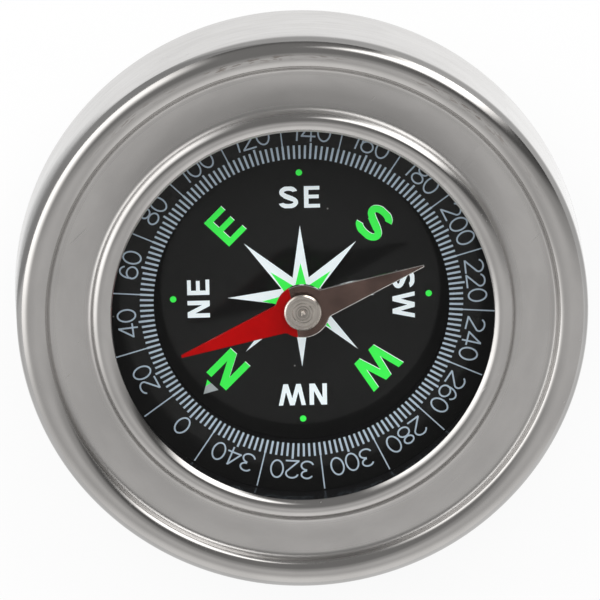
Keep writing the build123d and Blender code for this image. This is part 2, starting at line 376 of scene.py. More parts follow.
def clear_glass(name):
    """Flat coated glass with a faint veil; lamps and the soft light of the case pass straight through. The coating
    mirrors at low angles only, and the veil stands for the little light that it still throws back."""
    f = Finish(name)
    f.set(
        base_color=(0.985, 0.995, 0.99, 1),
        roughness=0.0,
        ior=1.5,
        transmission_weight=1.0,
        specular_tint=(0.0, 0.0, 0.0, 1),
        emission_color=WARM,
        emission_strength=f.uneven(f.noise(60.0), 0.0018, 0.0025),
    )
    f.material.cycles.emission_sampling = "NONE"
    ray = f.node("LightPath")
    through = f.most(ray["Is Shadow Ray"], ray["Is Diffuse Ray"])
    clear = f.node("BsdfTransparent", {"Color": (0.97, 0.98, 0.975, 1)})[0]
    f.put(f.end.inputs, {"Surface": f.mix(through, f.shader.outputs[0], clear)})
    return f.material


def moulded(name, rgb, rough, grain=0.02 * MM, specular=0.5):
    """Moulded plastic or rubber: fine skin, slightly uneven gloss."""
    f = Finish(name)
    f.set(
        base_color=f.mottle(f.noise(300.0), rgb, 0.85, 1.15),
        roughness=f.uneven(f.noise(500.0, 4.0), rough * 0.8, rough * 1.2),
        specular_ior_level=specular,
        normal=f.bump(f.noise(9000.0, 4.0), grain, 0.4),
    )
    return f.material


def printed_card(name, rgb, rough):
    """Black printed card with the grain of the ink film and a few specks of dust."""
    f = Finish(name)
    film = f.noise(14000.0)
    cells = f.node("TexVoronoi", {"Vector": f.place, "Scale": DUST_SCALE})
    pick = f.node("SeparateColor", {0: cells["Color"]})[0]
    dust = f.times(f.math("GREATER_THAN", pick, DUST_LIMIT), f.spread(cells["Distance"], 0.075, 0.03))
    ground = f.mottle(f.noise(160.0, 4.0), rgb, 0.9, 1.12)
    f.set(
        base_color=f.blend(f.times(dust, 0.5), ground, DUST_COLOUR),
        roughness=f.uneven(film, rough * 0.9, rough * 1.1),
        specular_ior_level=0.22,
        normal=f.bump(film, 0.0008 * MM, 0.3),
    )
    return f.material


def ink(name, rgb, glow=0.0):
    """Screen-printed ink with a fine grain in its colour and its gloss, and a glow of painted light if one is given."""
    f = Finish(name)
    grain = f.noise(9000.0)
    f.set(
        base_color=f.mottle(grain, rgb, 0.93, 1.04),
        roughness=f.uneven(grain, 0.45, 0.6),
        specular_ior_level=0.2,
        normal=f.bump(grain, 0.006 * MM, 0.4),
    )
    # Painted light: the ink emits a little, so it stays bright where the needle and hub shade it
    if glow:
        f.set(emission_color=tint(rgb), emission_strength=glow)
    return f.material


def needle_finish(name, bare, rough, settings):
    """Bare steel with the north half under red paint. The paint ends in a slightly slanting line."""
    f = Finish(name)
    lean = settings.bearing + settings.paint_lean
    along = f.along(f.place, (math.sin(lean), math.cos(lean), 0))
    ragged = f.math("MULTIPLY_ADD", f.noise(1500.0), 0.2 * MM, -0.1 * MM)
    line, soft = settings.paint_line, 0.02 * MM
    painted = f.spread(f.math("ADD", along, ragged), line - soft, line + soft)
    unpainted = f.math("SUBTRACT", 1.0, painted)
    cloud, film = f.noise(420.0, 4.0), f.noise(5000.0)
    polish = f.noise(16000.0, 3.0, f.node("Mapping", {"Vector": f.place, "Scale": (1.0, 0.08, 1.0)})[0])
    red = f.mottle(cloud, settings.paint, 0.86, 1.08)
    red = f.blend(f.spread(along, 1.5 * MM, 8 * MM, 0.4, 0.0), red, tint(settings.paint, 0.4))
    bare_rough = f.times(unpainted, f.uneven(polish, rough * 0.8, rough * 1.2))
    f.set(
        base_color=f.blend(painted, f.mottle(cloud, bare, 0.8, 1.25, SMUDGE), red),
        specular_ior_level=0.02,
        metallic=unpainted,
        roughness=f.math("MULTIPLY_ADD", painted, f.uneven(film, 0.3, 0.42), bare_rough),
        normal=f.bump(painted, 0.02 * MM, 0.6, f.bump(f.times(film, painted), 0.008 * MM, 0.4)),
    )
    return f.material


def foam_finish(name, rgb):
    """Foam with small open cells."""
    f = Finish(name)
    cells = f.node("TexVoronoi", {"Vector": f.place, "Scale": 2600.0})["Distance"]
    f.set(
        base_color=f.mottle(cells, rgb, 1.3, 0.5, (0.1, 0.6)),
        roughness=f.spread(cells, 0.0, 0.6, 0.85, 1.0),
        normal=f.bump(cells, 0.15 * MM, 0.9),
    )
    return f.material


# Shapes


def points(geometry):
    return [g for g in geometry if isinstance(g, bmesh.types.BMVert)]


def round_corners(bm, corners, offset, segments):
    bmesh.ops.bevel(
        bm, geom=corners, offset=offset, offset_type="OFFSET", segments=segments, profile=0.5, affect="VERTICES",
        material=-1, clamp_overlap=True,
    )


class Section:
    """Half of a turned piece's cross-section, drawn from point to point in the X-Z plane."""

    def __init__(self, r, z):
        self.bm = bmesh.new()
        self.start = self.tip = self.bm.verts.new((r, 0, z))

    def line(self, r, z, parts=1):
        step = (Vector((r, 0, z)) - self.tip.co) / parts
        for part in range(parts):
            made = bmesh.ops.extrude_vert_indiv(self.bm, verts=[self.tip])
            bmesh.ops.translate(self.bm, verts=made["verts"], vec=step)
            self.tip = made["verts"][0]
        return self

    def bend(self, centre, turn, steps):
        """An arc about centre; turn in radians from +Z towards +X."""
        made = bmesh.ops.spin(
            self.bm, geom=[self.tip], cent=(centre[0], 0, centre[1]), axis=(0, 1, 0), angle=turn, steps=steps
        )
        self.tip = points(made["geom_last"])[0]
        return self

    def close(self):
        self.bm.edges.new((self.tip, self.start))
        return self

    def soften(self, offset, segments=3):
        """Rounds the corners that stand off the axis."""
        corners = [v for v in self.bm.verts if v.co.x > 1e-7 and len(v.link_edges) == 2]
        round_corners(self.bm, corners, offset, segments)
        return self

    def turn(self, steps):
        bmesh.ops.spin(
            self.bm, geom=self.bm.verts[:] + self.bm.edges[:], cent=(0, 0, 0), axis=(0, 0, 1),
            angle=2 * math.pi, steps=steps, use_merge=True,
        )
        bmesh.ops.remove_doubles(self.bm, verts=self.bm.verts, dist=1e-7)
        bmesh.ops.recalc_face_normals(self.bm, faces=self.bm.faces)
        return self.bm


def outline(points, soft=0.0, segments=3):
    """A closed section through (radius, height) corners in millimetres."""
    section = Section(points[0][0] * MM, points[0][1] * MM)
    for r, z in points[1:]:
        section.line(r * MM, z * MM)
    if points[0][0] > 0 or points[-1][0] > 0:
        section.close()
    if soft:
        section.soften(soft * MM, segments)
    return section


def sharpen(bm, limit=35):
    """Smooth shading that breaks at real edges."""
    for face in bm.faces:
        face.smooth = True
    for edge in bm.edges:
        if edge.is_manifold and edge.calc_face_angle() > math.radians(limit):
            edge.smooth = False


def add_mesh(bm, name, materials):
    """Turns a bmesh into an object of the scene."""
    mesh = bpy.data.meshes.new(name)
    bm.to_mesh(mesh)
    bm.free()
    for material in materials:
        mesh.materials.append(material)
    made = bpy.data.objects.new(name, mesh)
    bpy.context.scene.collection.objects.link(made)
    return made


def make_piece(bm, name, materials, body, replaced=()):
    """Turns a bmesh into a piece that rides on a body and may stand for CAD nodes."""
    piece = add_mesh(bm, name, materials)
    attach(piece, body)
    if replaced:
        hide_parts(*replaced)
    return piece


def dress(node, material):
    """Gives a CAD node its finish."""
    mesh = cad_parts[node].data
    mesh.materials.clear()
    mesh.materials.append(material)


def thicken(bm, height):
    """Raises flat faces into closed films of that height."""
    made = bmesh.ops.extrude_face_region(bm, geom=bm.faces[:], use_keep_orig=True)
    bmesh.ops.translate(bm, verts=points(made["geom"]), vec=(0, 0, height))
    bmesh.ops.recalc_face_normals(bm, faces=bm.faces)


def bar(bm, x0, y0, x1, y1, width):
    """A straight stroke."""
    run = Vector((x1 - x0, y1 - y0, 0))
    place = (
        Matrix.Translation(((x0 + x1) / 2, (y0 + y1) / 2, 0))
        @ Matrix.Rotation(math.atan2(run.y, run.x), 4, "Z")
        @ Matrix.Diagonal((run.length, width, 1, 1))
    )
    bmesh.ops.create_grid(bm, x_segments=1, y_segments=1, size=0.5, matrix=place)


def band_along(bm, x, y, half_width, half_height, width, draw):
    """A stroke along an oval, between an outer and an inner edge that draw makes at radius 1."""
    edges = []
    for side in (0.5, -0.5):
        chain = draw()
        bmesh.ops.scale(bm, vec=(half_width + side * width, half_height + side * width, 1), verts=chain)
        bmesh.ops.translate(bm, vec=(x, y, 0), verts=chain)
        edges += [e for v in chain for e in v.link_edges]
    bmesh.ops.bridge_loops(bm, edges=list(dict.fromkeys(edges)))


def bow(bm, x, y, half_width, half_height, width, start, sweep):
    """A curved stroke along part of an oval, angles in degrees."""
    first, swing = math.radians(start), math.radians(sweep)

    def draw():
        before = set(bm.verts)
        seed = bm.verts.new((math.cos(first), math.sin(first), 0))
        steps = max(6, int(abs(sweep) / 12))
        bmesh.ops.spin(bm, geom=[seed], cent=(0, 0, 0), axis=(0, 0, 1), angle=swing, steps=steps)
        return [v for v in bm.verts if v not in before]

    band_along(bm, x, y, half_width, half_height, width, draw)


def oval(bm, x, y, half_width, half_height, width):
    """A closed oval stroke."""

    def draw():
        return bmesh.ops.create_circle(bm, segments=32, radius=1.0)["verts"]

    band_along(bm, x, y, half_width, half_height, width, draw)


def trim(bm):
    """Cuts the strokes off at the foot line and the cap line of a letter of height 1."""
    for level, way in ((0.0, -1.0), (1.0, 1.0)):
        bmesh.ops.bisect_plane(
            bm, geom=bm.verts[:] + bm.edges[:] + bm.faces[:], plane_co=(0, level, 0), plane_no=(0, way, 0),
            clear_outer=True, dist=1e-6,
        )


# Each letter is drawn at height 1 about the middle of its width, in strokes of width w.
# LETTERS gives the width of each.
LETTERS = {
    "0": 0.71, "1": 0.4, "2": 0.7, "3": 0.69, "4": 0.74, "6": 0.69, "8": 0.69,
    "N": 0.79, "E": 0.71, "S": 0.86, "W": 1.24,
}


def strokes(sign, w):
    half = LETTERS[sign] / 2
    h = w / 2
    return {
        "0": [(oval, 0, 0.5, half - h, 0.5 - h, w)],
        "1": [(bar, 0.08, 0, 0.08, 1, w), (bar, 0.1, 0.98, -0.17, 0.75, w * 0.95)],
        "2": [
            (bow, 0, 0.72, half - h, 0.28 - h, w, 168, -206),
            (bar, 0.236, 0.575, -0.33, 0.04, w),
            (bar, -half, h, half, h, w),
        ],
        "3": [
            (bow, 0, 0.755, half - h - 0.03, 0.245 - h, w, 165, -255),
            (bow, 0, 0.275, half - h, 0.275 - h, w, 90, -255),
        ],
        "4": [
            (bar, -half + 0.02, 0.25, 0.16, 1.02, w),
            (bar, 0.14, 0, 0.14, 1, w),
            (bar, -half, 0.27, half, 0.27, w),
        ],
        "6": [(oval, 0, 0.32, half - h, 0.32 - h, w), (bow, 0, 0.5, half - h, 0.5 - h, w, 35, 170)],
        "8": [(oval, 0, 0.765, half - h - 0.045, 0.235 - h, w), (oval, 0, 0.285, half - h, 0.285 - h, w)],
        "N": [
            (bar, h - half, 0, h - half, 1, w),
            (bar, half - h, 0, half - h, 1, w),
            (bar, h * 0.9 - half, 1.1, half - h * 0.9, -0.1, w * 0.98),
        ],
        "E": [
            (bar, h - half, 0, h - half, 1, w),
            (bar, h - half, h * 0.84, half, h * 0.84, w * 0.84),
            (bar, h - half, 0.515, half - 0.05, 0.515, w * 0.84),
            (bar, h - half, 1 - h * 0.84, half - 0.015, 1 - h * 0.84, w * 0.84),
        ],
        "S": [
            (bow, 0, 0.735, half - h - 0.03, 0.28 - h, w * 1.04, 12, 228),
            (bow, 0, 0.27, half - h, 0.285 - h, w * 1.04, -168, 228),
            (bar, -0.18, 0.575, 0.18, 0.425, w * 1.1),
        ],
        "W": [
            (bar, -half + h * 0.98, 1.03, -half * 0.47, -0.03, w * 0.94),
            (bar, -half * 0.47, -0.03, 0, 1.03, w * 0.94),
            (bar, 0, 1.03, half * 0.47, -0.03, w * 0.94),
            (bar, half * 0.47, -0.03, half - h * 0.98, 1.03, w * 0.94),
        ],
    }[sign]


def draw_letter(bm, sign, w):
    """Draws a letter; each stroke lies a hair above the one before, so that no two faces share a plane."""
    for number, (stroke, *measures) in enumerate(strokes(sign, w)):
        before = set(bm.verts)
        stroke(bm, *measures)
        drawn = [v for v in bm.verts if v not in before]
        bmesh.ops.translate(bm, vec=(0, 0, number * 0.002 * MM), verts=drawn)
    trim(bm)


def draw_word(bm, word, height, stroke, gap, place):
    """Letters in a row about the middle of the word, put in place at that height."""
    w = stroke / height
    total = sum(LETTERS[c] for c in word) + gap * (len(word) - 1)
    at = -total / 2
    for sign in word:
        letter = bmesh.new()
        draw_letter(letter, sign, w)
        middle = at + LETTERS[sign] / 2
        shift = Matrix.Diagonal((height, height, 1, 1)) @ Matrix.Translation((middle, -0.5, 0))
        bmesh.ops.transform(letter, matrix=place @ shift, verts=letter.verts)
        part = bpy.data.meshes.new("letter")
        letter.to_mesh(part)
        letter.free()
        bm.from_mesh(part)
        bpy.data.meshes.remove(part)
        at += LETTERS[sign] + gap


def around(bearing, radius):
    """A place on the dial at a compass bearing in degrees, with +Y pointing outwards."""
    return Matrix.Rotation(-math.radians(bearing), 4, "Z") @ Matrix.Translation((0, radius, 0))


def star(bm, long, short, valley):
    """A star of eight straight-sided rays, long and short in turn from north."""
    for bearing in range(0, 360, 45):
        ray = bmesh.ops.create_circle(bm, segments=4, radius=1.0, cap_ends=True)["verts"]
        reach = short if bearing % 90 else long
        ends = ((bearing, 0), (bearing - 22.5, valley), (bearing, reach), (bearing + 22.5, valley))
        for vert, (way, far) in zip(ray, ends):
            vert.co = around(way, far).translation
    bmesh.ops.remove_doubles(bm, verts=bm.verts, dist=1e-7)


def span(node):
    """A CAD node's outer radius, foot and top in millimetres."""
    low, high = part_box(node)
    return high[0] / MM, low[2] / MM, high[2] / MM


def washer(node, hole, soft, segments=2):
    """Section of a flat ring as wide and as high as its CAD node."""
    r, z0, z1 = span(node)
    return outline([(hole, z0), (r, z0), (r, z1), (hole, z1)], soft, segments)


def make_turned(section, steps, name, material, node, limit=35, body="case"):
    """Spins a section into a piece that stands for one CAD node."""
    bm = section.turn(steps)
    sharpen(bm, limit)
    return make_piece(bm, name, [material], body, [node])


# Pieces

NUMBER_GAP = 0.075  # gaps in shares of a letter's height
WORDS = ((45, "NE", 0.27), (135, "SE", 0.27), (225, "SW", 0.16), (315, "NW", 0.16))  # bearing, word and gap
# Glow of the white and green ink: painted light against the shade of needle and hub, and on the green also the luminous
# paint's own glow
PAINTED_INK_GLOW = 0.17
# share of the white ink's colour left on the north mark: painted shadow from the ring's edge
MARK_PAINTED_SHADE = 0.53
GROOVES = ((0.48, 0.4), (0.7, 0.35), (1.0, 0.55), (1.4, 0.25))  # shares of the groove's radius and depth


class COMPASS_OT_shell(bpy.types.Operator):
    """Pressed steel shell with its two beads, hollow face, wall and turned-in foot"""

    bl_idname = "compass.shell"
    bl_label = "Steel shell"

    def execute(self, context):
        s = context.scene.compass_case
        case_r, _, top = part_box("outer_shell")[1]

        def beside(circle, radius, tilt):
            return (circle[0] + radius * math.sin(tilt), circle[1] + radius * math.cos(tilt))

        crest = math.sin(s.crest_tilt)
        opening = case_r - s.bezel_width
        reach = s.window_round * crest + s.window_flank * (math.sin(s.lip_slope) - crest)
        window_c = (opening + reach, top - s.window_round)
        lip_c = beside(window_c, s.window_round - s.window_flank, -s.crest_tilt)
        flank_c = beside(window_c, s.window_round - s.window_flank, s.crest_tilt)
        window_f = beside(flank_c, s.window_flank + s.window_fillet, s.window_slope)
        rim_c = (case_r - s.rim_inset, top - s.rim_drop - s.rim_round)
        shoulder_c = beside(rim_c, s.rim_round - s.rim_shoulder, -s.crest_tilt)
        rim_f = beside(shoulder_c, s.rim_shoulder + s.rim_fillet, -s.rim_slope)
        foot_c = (case_r - s.foot_round, s.foot_round)

        # Face circle that touches both hollows from inside, and the line that touches rim and foot
        near, far = s.face_round - s.window_fillet, s.face_round - s.rim_fillet
        across = Vector(rim_f) - Vector(window_f)
        span = across.length
        turn = math.atan2(across.y, across.x) + math.acos((span**2 + near**2 - far**2) / (2 * span * near))
        face_c = (window_f[0] + near * math.cos(turn), window_f[1] + near * math.sin(turn))
        face_in = math.atan2(face_c[0] - window_f[0], face_c[1] - window_f[1])
        face_out = math.atan2(face_c[0] - rim_f[0], face_c[1] - rim_f[1])
        drop = Vector(rim_c) - Vector(foot_c)
        wall = math.atan2(drop.x, drop.y) + math.acos((s.foot_round - s.rim_round) / drop.length)

        # Centre, swing and steps of each arc from the lip to the wall
        arcs = [
            (lip_c, s.lip_slope - s.crest_tilt, 8),
            (window_c, 2 * s.crest_tilt, 18),
            (flank_c, s.window_slope - s.crest_tilt, 9),
            (window_f, face_in - s.window_slope, 12),
            (face_c, face_out - face_in, 20),
            (rim_f, -s.rim_slope - face_out, 14),
            (shoulder_c, s.rim_slope - s.crest_tilt, 9),
            (rim_c, wall + s.crest_tilt, 34),
        ]
        flange = foot_c[0] - s.foot_flange
        lip_out = beside(lip_c, s.window_flank, -s.lip_slope)
        lip_in = beside(lip_c, s.window_flank - s.sheet, -s.lip_slope)

        section = Section(*lip_out)
        for centre, swing, steps in arcs:
            section.bend(centre, swing, steps)
        section.line(*beside(foot_c, s.foot_round, wall), parts=10)
        section.bend(foot_c, math.pi - wall, 12)
        section.line(flange, 0, parts=3).line(flange, s.sheet)
        section.line(foot_c[0], s.sheet).bend(foot_c, wall - math.pi, 6)
        section.line(*beside(rim_c, s.rim_round - s.sheet, wall), parts=3)
        for centre, swing, steps in reversed(arcs):
            section.bend(centre, -swing, max(3, steps // 3))

        # Cut end of the sheet, slightly rounded
        half = s.sheet / 2
        round_end = (half**2 + s.lip_bulge**2) / (2 * s.lip_bulge)
        middle = (Vector(lip_out) + Vector(lip_in)) / 2
        inward = Vector((-math.cos(s.lip_slope), -math.sin(s.lip_slope)))
        end_c = middle - inward * (round_end - s.lip_bulge)
        section.bend(end_c, 2 * math.asin(half / round_end), 5)
        worn = (math.sin(s.worn_side), math.cos(s.worn_side), 0)
        hollows = (window_f[0] - s.window_fillet * 0.5, rim_f[0] + s.rim_fillet * 0.5)
        steel = pressed_steel("polished_steel", s.steel, 0.12, rim_c[0], worn, hollows, edge=opening)
        make_turned(section, s.turns, "steel_shell", steel, "outer_shell")
        return {"FINISHED"}


class COMPASS_OT_cover(bpy.types.Operator):
    """Base cover pressed from sheet, with a raised middle"""

    bl_idname = "compass.cover"
    bl_label = "Base cover"

    def execute(self, context):
        s = context.scene.compass_case
        r, z0, z1 = span("base_cover")
        a, b = COVER_STEP
        t = s.sheet / MM
        section = outline(
            [(0, z1 - t), (a, z1 - t), (b, z0), (r, z0), (r, z0 + t), (b, z0 + t), (a, z1), (0, z1)], COVER_SOFT
        )
        steel = pressed_steel("cover_steel", s.steel, rough=0.2)
        make_turned(section, s.turns, "cover_plate", steel, "base_cover")
        return {"FINISHED"}


class COMPASS_OT_window(bpy.types.Operator):
    """Flat window glass with a ground edge, and the gasket under the lip"""

    bl_idname = "compass.window"
    bl_label = "Window"

    def execute(self, context):
        s = context.scene.compass_case
        low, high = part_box("window_glass")
        bm = bmesh.new()
        foot = Matrix.Translation((0, 0, low[2]))
        bmesh.ops.create_circle(bm, cap_ends=True, segments=s.turns, radius=high[0], matrix=foot)
        thicken(bm, high[2] - low[2])
        rim = [e for e in bm.edges if e.calc_face_angle(0) > 1.0]
        bmesh.ops.bevel(
            bm, geom=rim, offset=GLASS_EDGE * MM, segments=2, profile=0.5, affect="EDGES", material=-1
        )
        sharpen(bm, 12)
        make_piece(bm, "window_pane", [clear_glass("window_glass")], "case", ["window_glass"])
        dress("window_gasket", moulded("gasket_rubber", s.rubber, rough=0.6, grain=0.04 * MM, specular=0.3))
        return {"FINISHED"}


class COMPASS_OT_cup(bpy.types.Operator):
    """Black moulded cup that holds the dial and the glass"""

    bl_idname = "compass.cup"
    bl_label = "Dial cup"

    def execute(self, context):
        scene = context.scene
        out, base, rim = span("dial_cup")
        ring, shelf, _ = span("degree_ring")
        disc, floor, _ = span("dial_disc")
        glass, seat, _ = span("window_glass")
        post, boss = span("pivot_post")[0], CUP_BOSS
        wall, recess, pane = ring + CARD_PLAY, disc + CARD_PLAY, glass + GLASS_PLAY
        under, skirt, ledge = floor - CUP_FLOOR, recess + CUP_WALL, shelf - CUP_WALL
        section = outline(
            [
                (post, base), (boss, base), (boss, under), (skirt, under), (skirt, ledge), (out, ledge), (out, rim),
                (pane, rim), (pane, seat), (wall, seat), (wall, shelf), (recess, shelf), (recess, floor), (post, floor),
            ],
            CUP_SOFT, 2,
        )
        black = moulded("cup_black", scene.compass_dial.cup, rough=0.22, grain=0.004 * MM)
        make_turned(section, scene.compass_case.turns, "cup_moulding", black, "dial_cup")
        return {"FINISHED"}


class COMPASS_OT_scale(bpy.types.Operator):
    """Degree ring with its printed marks and numbers"""

    bl_idname = "compass.scale"
    bl_label = "Degree ring"

    def execute(self, context):
        c = context.scene.compass_dial
        turns = context.scene.compass_case.turns
        r, _, top = span("degree_ring")
        section = washer("degree_ring", r - RING_WIDTH, CARD_SOFT)
        card = printed_card("ring_card", c.card, rough=0.2)
        make_turned(section, turns, "ring_card", card, "degree_ring")

        grey = ink("scale_ink", c.grey_ink)
        place = Matrix.Translation((0, 0, top * MM)) @ Matrix.Rotation(c.scale_turn, 4, "Z")
        marks = bmesh.new()
        for degree in range(0, 360, 2):
            end = c.tick_medium if degree % 20 == 0 else c.tick_outer
            bar(marks, *self.spoke(degree, c.tick_inner, end), c.tick_width)
            if degree % 20 == 10:
                bar(marks, *self.spoke(degree, end, c.tick_long), c.line_width)
        bmesh.ops.transform(marks, matrix=place, verts=marks.verts)
        thicken(marks, c.ink)
        make_piece(marks, "scale_marks", [grey], "case")

        numbers = bmesh.new()
        for degree in range(0, 360, 20):
            spot = place @ around(degree, c.number_radius)
            draw_word(numbers, str(degree), c.number_height, c.number_stroke, NUMBER_GAP, spot)
        thicken(numbers, c.ink)
        make_piece(numbers, "scale_numbers", [grey], "case")
        return {"FINISHED"}

    def spoke(self, degree, inner, outer):
        x, y = math.sin(math.radians(degree)), math.cos(math.radians(degree))
        return x * inner, y * inner, x * outer, y * outer


class COMPASS_OT_rose(bpy.types.Operator):
    """Rose disc with its star, letters, dots and north mark"""

    bl_idname = "compass.rose"
    bl_label = "Rose disc"

    def execute(self, context):
        c = context.scene.compass_dial
        section = washer("dial_disc", DISC_HOLE, CARD_SOFT)
        card = printed_card("rose_card", c.card, rough=0.16)
        make_turned(section, context.scene.compass_case.turns, "rose_card", card, "dial_disc")

        white, green = ink("white_ink", c.white_ink, PAINTED_INK_GLOW), ink("green_ink", c.green_ink, PAINTED_INK_GLOW)
        top = span("dial_disc")[2] * MM
        self.place = Matrix.Translation((0, 0, top)) @ Matrix.Rotation(c.print_turn, 4, "Z")
        up = math.degrees(context.scene.compass_stage.up_bearing)

        ground = bmesh.new()
        star(ground, c.rose_long, c.rose_short, c.rose_valley)
        for bearing, word, gap in WORDS:
            draw_word(ground, word, c.word_height, c.word_stroke, gap, around(bearing, c.word_radius))
        self.lay(ground, c, "rose_white", white)

        # White ground under the green letters, printed a little off them
        under = bmesh.new()
        self.letters(under, c, Matrix.Translation(around(up + 45, c.slip).translation))
        self.lay(under, c, "letter_ground", white, films=0.6)

        colour_print = bmesh.new()
        self.letters(colour_print, c, Matrix.Identity(4))
        for bearing in (45, 135, 225, 315):
            bmesh.ops.create_circle(
                colour_print, cap_ends=True, segments=24, radius=c.dot_radius, matrix=around(bearing, c.dot_place)
            )
        self.lay(colour_print, c, "letters_green", green)

        core = bmesh.new()
        star(core, c.core_long, c.core_short, c.core_valley)
        bmesh.ops.translate(core, vec=around(up, 1.0).translation * -c.core_slip, verts=core.verts)
        self.lay(core, c, "rose_core", green, films=1.6)

        base, tip, half = c.mark_inner, c.mark_outer, c.mark_width / 2
        # The north mark is white ink darkened as painted shadow, the shade of the ring's edge
        pale = ink("mark_ink_painted_shade", [v * MARK_PAINTED_SHADE for v in c.white_ink])
        corner = ((half * 0.35, base), (half, base), (half * 0.55, base + (tip - base) * 0.45))
        for name, material, films, points in (
            ("north_mark", pale, 1.0, ((-half, base), (half, base), (0, tip))),
            ("north_mark_corner", green, 1.4, corner),
        ):
            mark = bmesh.new()
            mark.faces.new([mark.verts.new((x, y, 0)) for x, y in points])
            self.lay(mark, c, name, material, films)
        return {"FINISHED"}

    def letters(self, bm, c, shift):
        for bearing, sign in ((0, "N"), (90, "E"), (180, "S"), (270, "W")):
            draw_word(bm, sign, c.letter_height, c.letter_stroke, 0, shift @ around(bearing, c.letter_radius))

    def lay(self, bm, c, name, material, films=1.0):
        bmesh.ops.transform(bm, matrix=self.place, verts=bm.verts)
        thicken(bm, c.ink * films)
        make_piece(bm, name, [material], "case")


class COMPASS_OT_pivot(bpy.types.Operator):
    """Brass post and steel pin under the needle"""

    bl_idname = "compass.pivot"
    bl_label = "Pivot"

    def execute(self, context):
        s = context.scene.compass_case
        dress("pivot_post", turned_metal("post_brass", s.brass, rough=0.25))
        dress("pivot_pin", turned_metal("pin_steel", s.steel, rough=0.12))
        return {"FINISHED"}


class COMPASS_OT_needle(bpy.types.Operator):
    """Needle blade with its red half, and the turned cap, jewel and collar"""

    bl_idname = "compass.needle"
    bl_label = "Needle"

    def execute(self, context):
        n = context.scene.compass_needle
        self.blade(n, context.scene.compass_case)
        self.cap(n)
        return {"FINISHED"}

    def blade(self, n, s):
        low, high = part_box("needle_blade")
        z0, z1 = low[2], high[2]
        reach = high[1] / math.cos(n.bearing) * 0.9995
        bm = bmesh.new()
        root = math.asin(n.arm_half / n.hub_radius)
        tip = [bm.verts.new((n.tip_radius * side, reach, 0)) for side in (1, -1)]
        bm.edges.new(tip)
        seed = bm.verts.new((n.hub_radius * math.sin(root), n.hub_radius * math.cos(root), 0))
        bm.edges.new((tip[0], seed))
        made = bmesh.ops.spin(
            bm, geom=[seed], cent=(0, 0, 0), axis=(0, 0, 1), angle=2 * root - math.pi, steps=24
        )
        foot = points(made["geom_last"])[0]
        turned = bmesh.ops.duplicate(bm, geom=bm.verts[:] + bm.edges[:])
        half_turn = Matrix.Rotation(math.pi, 3, "Z")
        bmesh.ops.rotate(bm, verts=points(turned["geom"]), cent=(0, 0, 0), matrix=half_turn)
        twin = turned["vert_map"]
        bm.edges.new((foot, twin[tip[1]]))
        bm.edges.new((twin[foot], tip[1]))
        round_corners(bm, [seed, foot, twin[seed], twin[foot]], n.fillet * 0.5, 5)
        bmesh.ops.remove_doubles(bm, verts=bm.verts, dist=n.edge * 0.2)
        bmesh.ops.create_circle(bm, segments=48, radius=n.hole_radius)
        bmesh.ops.triangle_fill(bm, use_beauty=True, edges=bm.edges[:], normal=(0, 0, 1))
        bmesh.ops.dissolve_degenerate(bm, dist=n.edge * 0.05, edges=bm.edges)
        place = Matrix.Translation((0, 0, z0)) @ Matrix.Rotation(-n.bearing, 4, "Z")
        bmesh.ops.transform(bm, matrix=place, verts=bm.verts)
        thicken(bm, z1 - z0 - n.edge_drop)
        top = [f for f in bm.faces if f.calc_center_median().z > (z0 + z1) / 2 and abs(f.normal.z) > 0.5]
        bmesh.ops.inset_region(
            bm, faces=top, thickness=n.edge, depth=n.edge_drop, use_boundary=True, use_even_offset=True
        )
        sharpen(bm, 12)
        for face in bm.faces:
            face.material_index = 0 if abs(face.normal.z) > 0.99 else 1
        flat = needle_finish("needle_flat", n.blade, rough=0.22, settings=n)
        edge = needle_finish("needle_edge", tint(s.steel, 1.2)[:3], rough=0.16, settings=n)
        make_piece(bm, "needle_pointer", [flat, edge], "needle", ["needle_blade"])

    def cap(self, n):
        r, foot, top = span("needle_cap")
        jewel, _, roof = span("jewel_cup")
        seat, stem, e = span("needle_blade")[2], n.hole_radius / MM, n.cap_edge / MM
        dip, deep, groove = n.dimple_radius, n.dimple_depth, n.groove_radius
        ball = (dip**2 + deep**2) / (2 * deep)
        lowest = top * MM - deep
        section = Section(0, lowest).bend((0, lowest + ball), -math.asin(dip / ball), 8)
        face = []
        for share, depth in GROOVES:
            g, w, d = share * groove / MM, n.groove_width / MM / 2, depth * n.groove_depth / MM
            face += [(g - w, top), (g, top - d), (g + w, top)]
        face += [
            (r - e * 1.3, top), (r - e * 0.15, top - e * 0.8), (r, top - e * 1.2), (r, seat), (stem, seat),
            (stem, foot), (jewel, foot), (jewel, roof), (0, roof),
        ]
        for x, z in face:
            section.line(x * MM, z * MM)
        # Painted highlights in the dimple and on the rim, painted shade in the rings between them
        painted_light_bands = (
            (0, dip * 0.6, 1.75),
            (dip, groove * 0.5, 0.7),
            (groove * 0.6, groove * 0.74, 0.76),
            (groove * 0.95, groove * 1.02, 0.85),
            (r * MM - n.cap_edge * 1.3, r * MM, 1.8),
        )
        metal = turned_metal("cap_metal", n.cap, rough=0.18, scale=24000.0, relief=0.0015 * MM, painted_light_bands=painted_light_bands)
        make_turned(section, SMALL_TURNS, "needle_hub", metal, "needle_cap", limit=20, body="needle")
        dress("cap_collar", metal)
        dress("jewel_cup", moulded("jewel_glass", n.jewel, rough=0.12, grain=0.004 * MM))


class COMPASS_OT_packing(bpy.types.Operator):
    """Locating ring round the cup, and the foam pad under it"""

    bl_idname = "compass.packing"
    bl_label = "Packing"

    def execute(self, context):
        s = context.scene.compass_case
        dress("locating_ring", moulded("ring_plastic", s.plastic, rough=0.4))
        section = washer("cushion_pad", PAD_HOLE, PAD_SOFT, segments=5)
        foam = foam_finish("pad_foam", s.foam)
        pad = make_turned(section, SMALL_TURNS, "foam_pad", foam, "cushion_pad", limit=50)
        return {"FINISHED"}


# Stage

